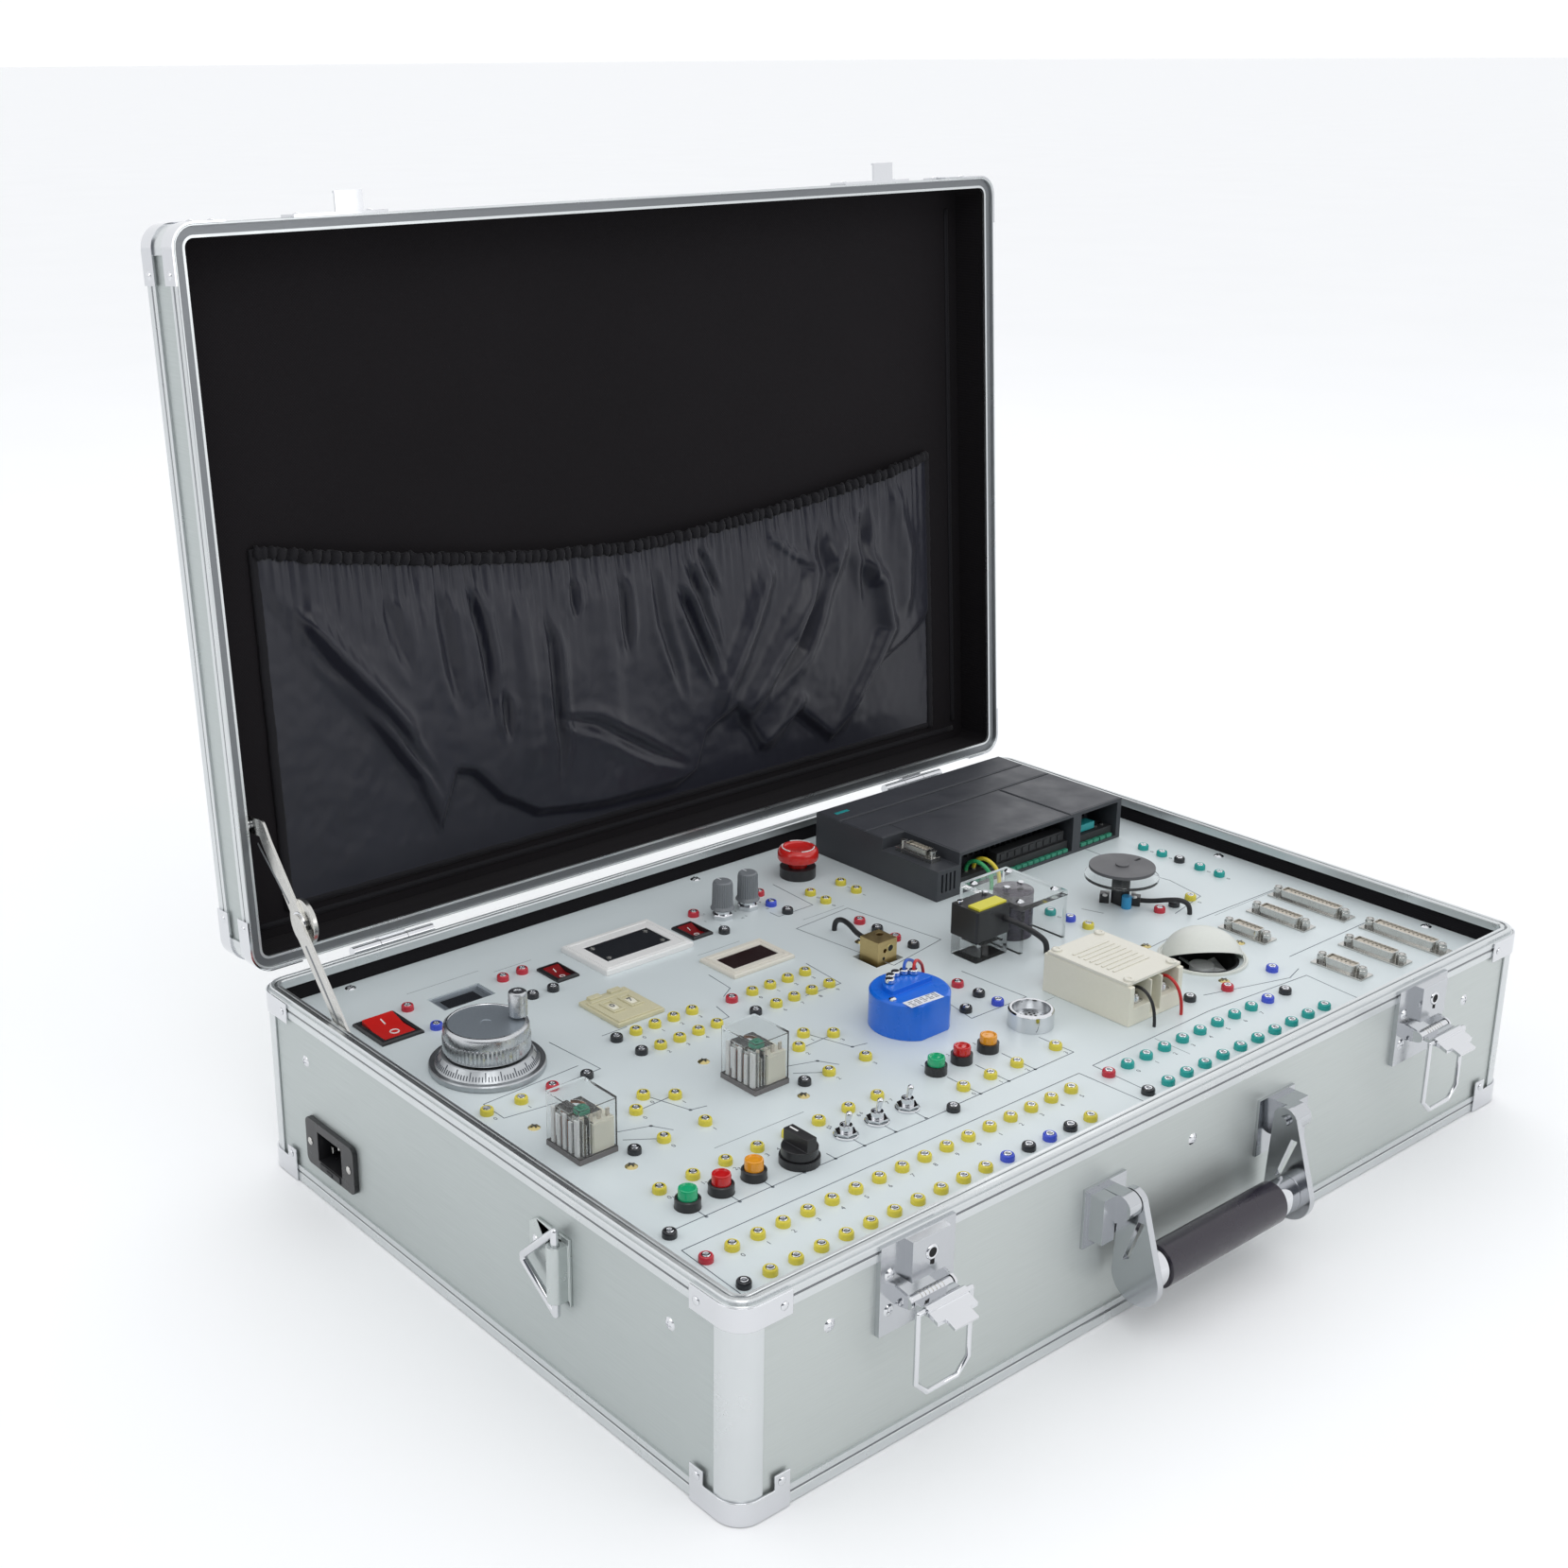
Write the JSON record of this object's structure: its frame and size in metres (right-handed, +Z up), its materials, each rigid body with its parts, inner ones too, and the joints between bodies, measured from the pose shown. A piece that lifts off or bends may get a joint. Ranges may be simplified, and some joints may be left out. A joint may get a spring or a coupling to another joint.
{
  "type": "programmable controller trainer case",
  "caption": "Aluminium-framed carry case with an open lid, holding a white instrument panel of jacks, switches, meters, relays and a controller.",
  "frame": {"origin": "centre of the underside of the base, on the surface it stands on", "axes": "+X along the long front edge to the right, +Y from the latches to the hinges, +Z up"},
  "size_m": [0.6176, 0.5014, 0.5238],
  "materials": {
    "base_boards": "satin aluminium skin on board",
    "base_frame": "brushed anodised extrusion",
    "base_lining": "woven black lining",
    "base_corner_caps": "polished plated steel",
    "control_panel": "satin white sheet with thin grey lines",
    "screws": "nickel-plated",
    "mains_inlet": "moulded black",
    "power_supply": "zinc-plated sheet",
    "base_hardware": "polished plated steel",
    "base_hinge_leaves": "polished plated steel",
    "control_collars": "moulded black",
    "control_bushings": "nickel-plated",
    "panel_meters": "moulded black",
    "handwheel_base": "turned and knurled",
    "yellow_jacks": "moulded yellow",
    "supply_jacks": "moulded red and black",
    "signal_jacks": "moulded teal and blue",
    "lamp_lenses": "green, red and amber lenses",
    "plc_housing": "dark slate moulding",
    "relay_covers": "clear plastic",
    "relay_cores": "coil and contacts",
    "heater_block": "machined",
    "temperature_transmitter": "blue moulding",
    "photo_sensor": "moulded black",
    "acrylic_stands": "clear plastic",
    "solid_state_relay": "cream moulding",
    "dome_hood": "pale grey paint",
    "d_sub_connectors": "nickel-plated shell",
    "hookup_wires": "insulated leads, black, red, green and yellow",
    "lid_boards": "satin aluminium skin on board",
    "lid_frame": "brushed anodised extrusion",
    "lid_lining": "woven black lining",
    "lid_fittings": "polished plated steel",
    "lid_pocket": "nylon pocket",
    "stay_lower_arm": "nickel-plated",
    "stay_upper_arm": "nickel-plated",
    "left_latch_lever": "polished plated steel",
    "right_latch_lever": "polished plated steel",
    "left_latch_bail": "polished plated steel",
    "right_latch_bail": "polished plated steel",
    "handle": "chrome arms, black grip",
    "left_strap_ring": "polished plated steel",
    "right_strap_ring": "polished plated steel",
    "power_rocker": "glossy red",
    "dc_rocker": "translucent dark red",
    "adjust_rocker": "translucent dark red",
    "handwheel": "turned and knurled",
    "crank_knob": "turned and knurled",
    "left_pot_knob": "moulded black",
    "right_pot_knob": "moulded black",
    "e_stop_head": "glossy red",
    "green_button": "green",
    "red_button": "glossy red",
    "amber_button": "amber",
    "selector_knob": "moulded black",
    "toggle_1": "nickel-plated",
    "toggle_2": "nickel-plated",
    "toggle_3": "nickel-plated",
    "sensor_disc": "dark grey",
    "fan_rotor": "grey moulding"
  },
  "bodies": {
    "case_base": {"base_boards": "base_boards", "base_frame": "base_frame", "base_lining": "base_lining", "base_corner_caps": "base_corner_caps", "control_panel": "control_panel", "screws": "screws", "mains_inlet": "mains_inlet", "power_supply": "power_supply", "base_hardware": "base_hardware", "base_hinge_leaves": "base_hinge_leaves", "control_collars": "control_collars", "control_bushings": "control_bushings", "panel_meters": "panel_meters", "handwheel_base": "handwheel_base", "yellow_jacks": "yellow_jacks", "supply_jacks": "supply_jacks", "signal_jacks": "signal_jacks", "lamp_lenses": "lamp_lenses", "plc_housing": "plc_housing", "relay_covers": "relay_covers", "relay_cores": "relay_cores", "heater_block": "heater_block", "temperature_transmitter": "temperature_transmitter", "photo_sensor": "photo_sensor", "acrylic_stands": "acrylic_stands", "solid_state_relay": "solid_state_relay", "dome_hood": "dome_hood", "d_sub_connectors": "d_sub_connectors", "hookup_wires": "hookup_wires"},
    "lid": {"lid_boards": "lid_boards", "lid_frame": "lid_frame", "lid_lining": "lid_lining", "lid_fittings": "lid_fittings", "lid_pocket": "lid_pocket"},
    "stay_lower": {"stay_lower_arm": "stay_lower_arm"},
    "stay_upper": {"stay_upper_arm": "stay_upper_arm"},
    "lever_left": {"left_latch_lever": "left_latch_lever"},
    "lever_right": {"right_latch_lever": "right_latch_lever"},
    "bail_left": {"left_latch_bail": "left_latch_bail"},
    "bail_right": {"right_latch_bail": "right_latch_bail"},
    "handle": {"handle": "handle"},
    "ring_left": {"left_strap_ring": "left_strap_ring"},
    "ring_right": {"right_strap_ring": "right_strap_ring"},
    "power_rocker": {"power_rocker": "power_rocker"},
    "dc_rocker": {"dc_rocker": "dc_rocker"},
    "adjust_rocker": {"adjust_rocker": "adjust_rocker"},
    "handwheel": {"handwheel": "handwheel"},
    "crank_knob": {"crank_knob": "crank_knob"},
    "pot_left": {"left_pot_knob": "left_pot_knob"},
    "pot_right": {"right_pot_knob": "right_pot_knob"},
    "e_stop": {"e_stop_head": "e_stop_head"},
    "green_button": {"green_button": "green_button"},
    "red_button": {"red_button": "red_button"},
    "amber_button": {"amber_button": "amber_button"},
    "selector": {"selector_knob": "selector_knob"},
    "toggle_1": {"toggle_1": "toggle_1"},
    "toggle_2": {"toggle_2": "toggle_2"},
    "toggle_3": {"toggle_3": "toggle_3"},
    "sensor_disc": {"sensor_disc": "sensor_disc"},
    "fan": {"fan_rotor": "fan_rotor"}
  },
  "joints": [
    {"name": "lid_hinge", "type": "hinge", "parent": "case_base", "child": "lid", "pos_m": [0, 0.2045, 0.108], "axis": [1, 0, 0], "range_deg": [0, 94.1], "deforming": ["lid_pocket"]},
    {"name": "stay_lower_pivot", "type": "hinge", "parent": "case_base", "child": "stay_lower", "pos_m": [-0.2918, 0.1193, 0.1009], "axis": [1, 0, 0], "range_deg": [0, 118]},
    {"name": "stay_upper_pivot", "type": "hinge", "parent": "lid", "child": "stay_upper", "pos_m": [-0.29, 0.2181, 0.1948], "axis": [1, 0, 0], "range_deg": [-137, 0]},
    {"name": "latch_lever_left", "type": "hinge", "parent": "case_base", "child": "lever_left", "pos_m": [-0.197, -0.2092, 0.08], "axis": [1, 0, 0], "range_deg": [0, 85]},
    {"name": "latch_bail_left", "type": "hinge", "parent": "lever_left", "child": "bail_left", "pos_m": [-0.197, -0.2182, 0.08], "axis": [1, 0, 0], "range_deg": [-266, 0]},
    {"name": "strap_ring_left", "type": "hinge", "parent": "case_base", "child": "ring_left", "pos_m": [-0.3046, -0.08, 0.07], "axis": [0, 0, 1], "range_deg": [0, 165]},
    {"name": "latch_lever_right", "type": "hinge", "parent": "case_base", "child": "lever_right", "pos_m": [0.197, -0.2092, 0.08], "axis": [1, 0, 0], "range_deg": [0, 85]},
    {"name": "latch_bail_right", "type": "hinge", "parent": "lever_right", "child": "bail_right", "pos_m": [0.197, -0.2182, 0.08], "axis": [1, 0, 0], "range_deg": [-266, 0]},
    {"name": "strap_ring_right", "type": "hinge", "parent": "case_base", "child": "ring_right", "pos_m": [0.3046, -0.08, 0.07], "axis": [0, 0, 1], "range_deg": [-165, 0]},
    {"name": "handle_pivot", "type": "hinge", "parent": "case_base", "child": "handle", "pos_m": [0, -0.212, 0.074], "axis": [-1, 0, 0], "range_deg": [0, 95]},
    {"name": "power_switch", "type": "hinge", "parent": "case_base", "child": "power_rocker", "pos_m": [-0.261, 0.131, 0.093], "axis": [1, 0, 0], "range_deg": [-12, 0]},
    {"name": "dc_switch", "type": "hinge", "parent": "case_base", "child": "dc_rocker", "pos_m": [-0.149, 0.13, 0.093], "axis": [1, 0, 0], "range_deg": [-14, 0]},
    {"name": "adjust_switch", "type": "hinge", "parent": "case_base", "child": "adjust_rocker", "pos_m": [-0.053, 0.126, 0.093], "axis": [1, 0, 0], "range_deg": [-14, 0]},
    {"name": "handwheel_spin", "type": "hinge", "parent": "case_base", "child": "handwheel", "pos_m": [-0.243, 0.063, 0.11], "axis": [0, 0, 1], "continuous": true},
    {"name": "crank_knob_spin", "type": "hinge", "parent": "handwheel", "child": "crank_knob", "pos_m": [-0.227, 0.057, 0.125], "axis": [0, 0, 1], "continuous": true},
    {"name": "pot_turn_left", "type": "hinge", "parent": "case_base", "child": "pot_left", "pos_m": [-0.025, 0.131, 0.105], "axis": [0, 0, 1], "range_deg": [-150, 150]},
    {"name": "pot_turn_right", "type": "hinge", "parent": "case_base", "child": "pot_right", "pos_m": [-0.004, 0.132, 0.105], "axis": [0, 0, 1], "range_deg": [-150, 150]},
    {"name": "e_stop_press", "type": "slide", "parent": "case_base", "child": "e_stop", "axis": [0, 0, -1], "range_m": [0, 0.004], "stiffness_N_per_m": 900, "springref_m": -0.002},
    {"name": "green_button_press", "type": "slide", "parent": "case_base", "child": "green_button", "axis": [0, 0, -1], "range_m": [0, 0.0025], "stiffness_N_per_m": 400, "springref_m": -0.002},
    {"name": "red_button_press", "type": "slide", "parent": "case_base", "child": "red_button", "axis": [0, 0, -1], "range_m": [0, 0.0025], "stiffness_N_per_m": 400, "springref_m": -0.002},
    {"name": "amber_button_press", "type": "slide", "parent": "case_base", "child": "amber_button", "axis": [0, 0, -1], "range_m": [0, 0.0025], "stiffness_N_per_m": 400, "springref_m": -0.002},
    {"name": "selector_turn", "type": "hinge", "parent": "case_base", "child": "selector", "pos_m": [-0.184, -0.111, 0.101], "axis": [0, 0, 1], "range_deg": [-45, 45]},
    {"name": "toggle_flip_1", "type": "hinge", "parent": "case_base", "child": "toggle_1", "pos_m": [-0.15, -0.107, 0.0984], "axis": [1, 0, 0], "range_deg": [-24, 0]},
    {"name": "toggle_flip_2", "type": "hinge", "parent": "case_base", "child": "toggle_2", "pos_m": [-0.129, -0.107, 0.0984], "axis": [1, 0, 0], "range_deg": [-24, 0]},
    {"name": "toggle_flip_3", "type": "hinge", "parent": "case_base", "child": "toggle_3", "pos_m": [-0.108, -0.107, 0.0984], "axis": [1, 0, 0], "range_deg": [-24, 0]},
    {"name": "disc_spin", "type": "hinge", "parent": "case_base", "child": "sensor_disc", "pos_m": [0.177, -0.008, 0.117], "axis": [0, 0, 1], "continuous": true},
    {"name": "fan_spin", "type": "hinge", "parent": "case_base", "child": "fan", "pos_m": [0.15, -0.09, 0.084], "axis": [0, 0, 1], "continuous": true}
  ],
  "couplings": [
    {"joint": "stay_lower_pivot", "follows": "lid_hinge", "ratio": 1.2455},
    {"joint": "stay_upper_pivot", "follows": "lid_hinge", "ratio": -1.4437},
    {"joint": "latch_bail_left", "follows": "latch_lever_left", "ratio": -3.1176},
    {"joint": "latch_bail_right", "follows": "latch_lever_right", "ratio": -3.1176}
  ]
}
